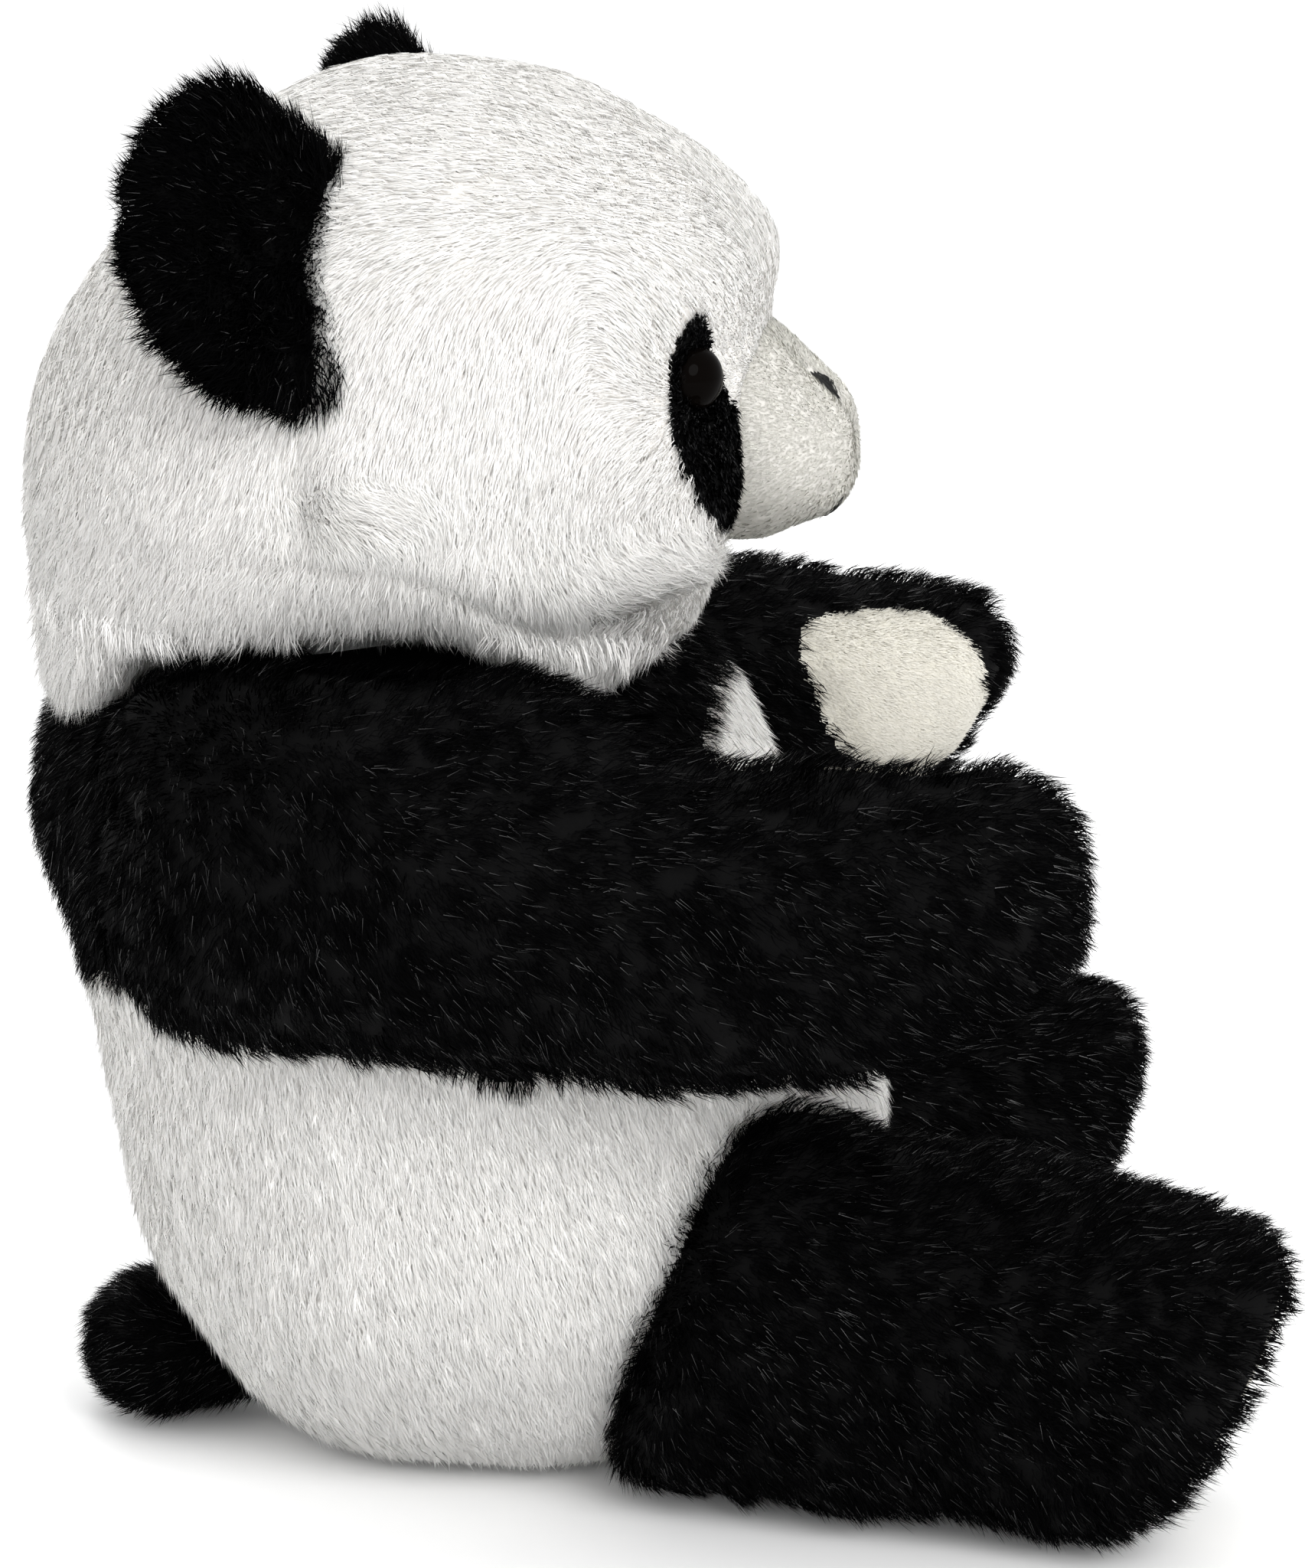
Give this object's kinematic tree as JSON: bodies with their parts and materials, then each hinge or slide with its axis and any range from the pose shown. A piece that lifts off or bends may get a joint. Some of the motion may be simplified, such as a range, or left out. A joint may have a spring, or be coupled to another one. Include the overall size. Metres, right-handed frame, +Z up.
{
  "type": "plush panda bear toy",
  "caption": "Seated soft toy panda with stuffed head, torso, arms and legs in long black and white plush, domed eyes, short pile muzzle and pads",
  "frame": {"origin": "centre of the bounding box on the floor under the seated toy", "axes": "+Z up, the toy faces -Y, its right side is at -X and its back at +Y"},
  "size_m": [0.2514, 0.2733, 0.3183],
  "materials": {
    "stuffing": "loose white polyester fibre",
    "pellet_cloth": "woven cotton bag of plastic pellets",
    "white_plush": "long white pile with cream roots",
    "black_plush": "long glossy black pile",
    "cream_short_plush": "short brushed cream pile",
    "black_short_plush": "short matt black pile",
    "eye_plastic": "polished dark brown plastic",
    "clear_plastic": "natural white nylon",
    "embroidery_thread": "satin stitched black thread"
  },
  "bodies": {
    "torso": {"torso_fill": "stuffing", "pellet_bag": "pellet_cloth", "seat_panel": "white_plush", "lower_body_cover": "white_plush", "shoulder_yoke": "black_plush"},
    "neck": {"neck_stuffing": "stuffing"},
    "head": {"head_fill": "stuffing", "head_cover": "white_plush", "face_panel": "white_plush", "muzzle_fill": "stuffing", "muzzle_cover": "cream_short_plush", "nose_embroidery": "embroidery_thread", "mouth_stitch": "embroidery_thread", "eye_patch_right": "black_short_plush", "eye_patch_left": "black_short_plush", "eye_right": "eye_plastic", "eye_left": "eye_plastic", "eye_washer_right": "clear_plastic", "eye_washer_left": "clear_plastic"},
    "ear_right": {"ear_cover_right": "black_plush", "ear_wadding_right": "stuffing"},
    "ear_left": {"ear_cover_left": "black_plush", "ear_wadding_left": "stuffing"},
    "arm_right": {"arm_fill_right": "stuffing", "arm_cover_right": "black_plush", "paw_pad_right": "cream_short_plush"},
    "arm_left": {"arm_fill_left": "stuffing", "arm_cover_left": "black_plush", "paw_pad_left": "cream_short_plush"},
    "leg_right": {"leg_fill_right": "stuffing", "leg_cover_right": "black_plush", "sole_pad_right": "cream_short_plush"},
    "leg_left": {"leg_fill_left": "stuffing", "leg_cover_left": "black_plush", "sole_pad_left": "cream_short_plush"},
    "tail": {"tail_fill": "stuffing", "tail_cover": "black_plush"},
    "shoulder_right": {"shoulder_stuffing_right": "stuffing"},
    "shoulder_left": {"shoulder_stuffing_left": "stuffing"}
  },
  "joints": [
    {"name": "neck_nod", "type": "hinge", "parent": "torso", "child": "neck", "pos_m": [0, 0.05853, 0.1613], "axis": [1, 0, 0], "range_deg": [-5, 5], "stiffness_Nm_per_rad": 3},
    {"name": "neck_turn", "type": "hinge", "parent": "neck", "child": "head", "pos_m": [0, 0.05853, 0.1613], "axis": [0, 0.1736, 0.9848], "range_deg": [-20, 20], "stiffness_Nm_per_rad": 1},
    {"name": "ear_right_fold", "type": "hinge", "parent": "head", "child": "ear_right", "pos_m": [-0.06453, 0.07278, 0.27945], "axis": [-0.316, 0.0453, -0.9477], "range_deg": [-20, 20], "stiffness_Nm_per_rad": 0.01},
    {"name": "ear_left_fold", "type": "hinge", "parent": "head", "child": "ear_left", "pos_m": [0.06024, 0.05551, 0.2825], "axis": [-0.3614, 0.0484, 0.9312], "range_deg": [-20, 20], "stiffness_Nm_per_rad": 0.01},
    {"name": "arm_right_raise", "type": "hinge", "parent": "torso", "child": "shoulder_right", "pos_m": [-0.084, 0.062, 0.146], "axis": [-1, 0, 0], "range_deg": [-8, 16], "stiffness_Nm_per_rad": 2.5},
    {"name": "arm_right_spread", "type": "hinge", "parent": "shoulder_right", "child": "arm_right", "pos_m": [-0.084, 0.062, 0.146], "axis": [0, 0, -1], "range_deg": [-6, 35], "stiffness_Nm_per_rad": 1.5},
    {"name": "arm_left_raise", "type": "hinge", "parent": "torso", "child": "shoulder_left", "pos_m": [0.084, 0.062, 0.146], "axis": [-1, 0, 0], "range_deg": [-8, 16], "stiffness_Nm_per_rad": 2.5},
    {"name": "arm_left_spread", "type": "hinge", "parent": "shoulder_left", "child": "arm_left", "pos_m": [0.084, 0.062, 0.146], "axis": [0, 0, 1], "range_deg": [-6, 35], "stiffness_Nm_per_rad": 1.5},
    {"name": "leg_right_raise", "type": "hinge", "parent": "torso", "child": "leg_right", "pos_m": [-0.053, -0.006, 0.042], "axis": [-1, 0, 0], "range_deg": [-15, 12], "stiffness_Nm_per_rad": 1.5},
    {"name": "leg_left_raise", "type": "hinge", "parent": "torso", "child": "leg_left", "pos_m": [0.053, -0.006, 0.042], "axis": [-1, 0, 0], "range_deg": [-15, 12], "stiffness_Nm_per_rad": 1.5},
    {"name": "tail_flex", "type": "hinge", "parent": "torso", "child": "tail", "pos_m": [0, 0.099, 0.017], "axis": [1, 0, 0], "range_deg": [-8, 12], "stiffness_Nm_per_rad": 0.02}
  ]
}
